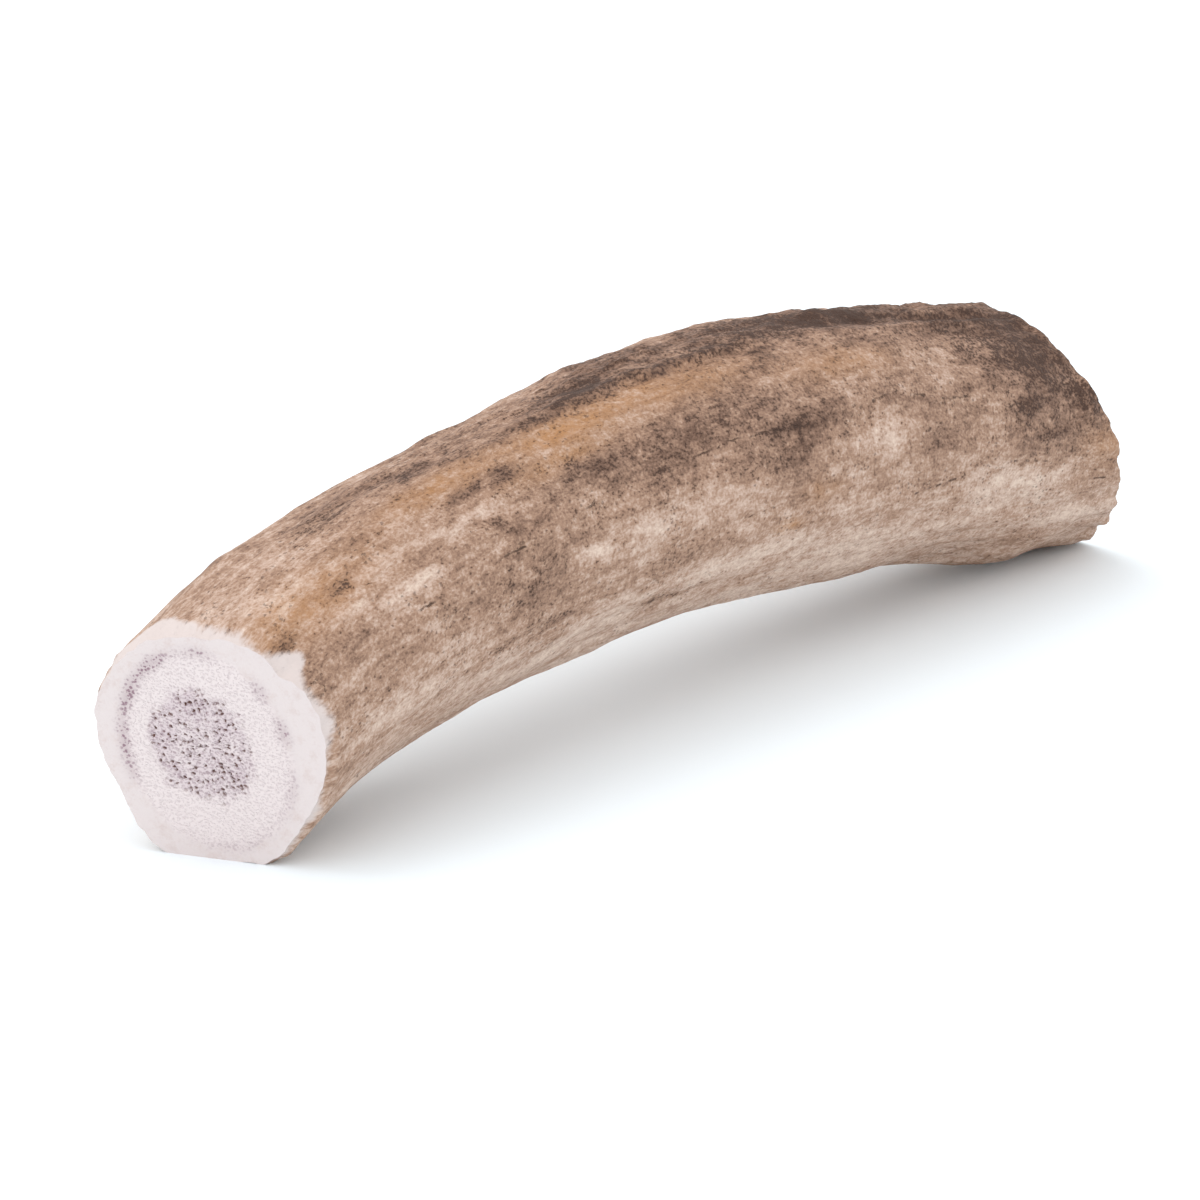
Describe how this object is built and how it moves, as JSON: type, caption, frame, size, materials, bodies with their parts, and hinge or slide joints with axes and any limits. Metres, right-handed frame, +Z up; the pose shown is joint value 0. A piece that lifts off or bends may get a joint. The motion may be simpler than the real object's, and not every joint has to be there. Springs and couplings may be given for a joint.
{
  "type": "elk antler",
  "caption": "Sawn length of elk antler beam, gently arched, with weathered brown bark, a pale porous front face and an oblique knobbly back end.",
  "frame": {"origin": "on the ground, under the middle of the bounding box", "axes": "+X along the beam from the front sawn face to the back one, +Z up as the antler rests"},
  "size_m": [0.2481, 0.0491, 0.0562],
  "materials": {
    "antler": "matt, weathered"
  },
  "bodies": {
    "root": {"antler": "antler"}
  },
  "joints": []
}
